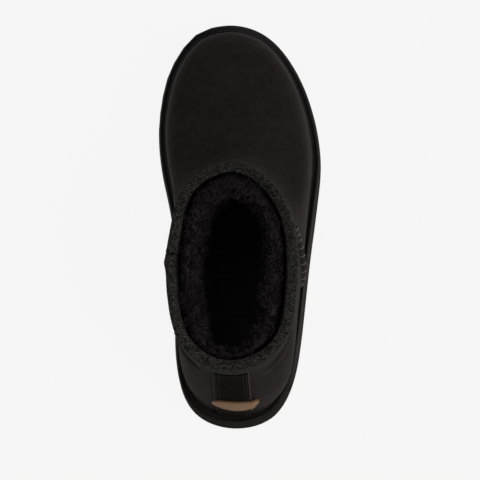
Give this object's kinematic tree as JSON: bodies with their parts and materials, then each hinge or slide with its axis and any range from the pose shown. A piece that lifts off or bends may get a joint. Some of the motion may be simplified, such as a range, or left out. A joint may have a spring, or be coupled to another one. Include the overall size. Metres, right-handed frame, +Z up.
{
  "type": "sheepskin ankle boot",
  "caption": "Low sheepskin ankle boot for the right foot, with a rounded toe, a curly pile lining, a bound collar, raised side seams, a heel stay and a thick foam sole with a wavy tread.",
  "frame": {"origin": "on the floor, under the middle of the sole's bounding box", "axes": "+Z up, +Y towards the toe, +X towards the outer side of the right foot"},
  "size_m": [0.1081, 0.273, 0.1131],
  "materials": {
    "black_rubber": "matte moulded rubber",
    "black_foam": "satin closed-cell foam",
    "black_fleece": "curly wool pile",
    "black_suede": "napped suede",
    "black_webbing": "twill tape",
    "tan_leather": "smooth vegetable-tanned leather"
  },
  "bodies": {
    "root": {"outsole": "black_rubber", "midsole": "black_foam", "insole": "black_fleece", "upper": "black_suede", "fleece_lining": "black_fleece", "collar_binding": "black_webbing", "side_seam_outer": "black_suede", "side_seam_inner": "black_suede", "heel_stay": "black_suede", "heel_badge": "tan_leather"}
  },
  "joints": []
}
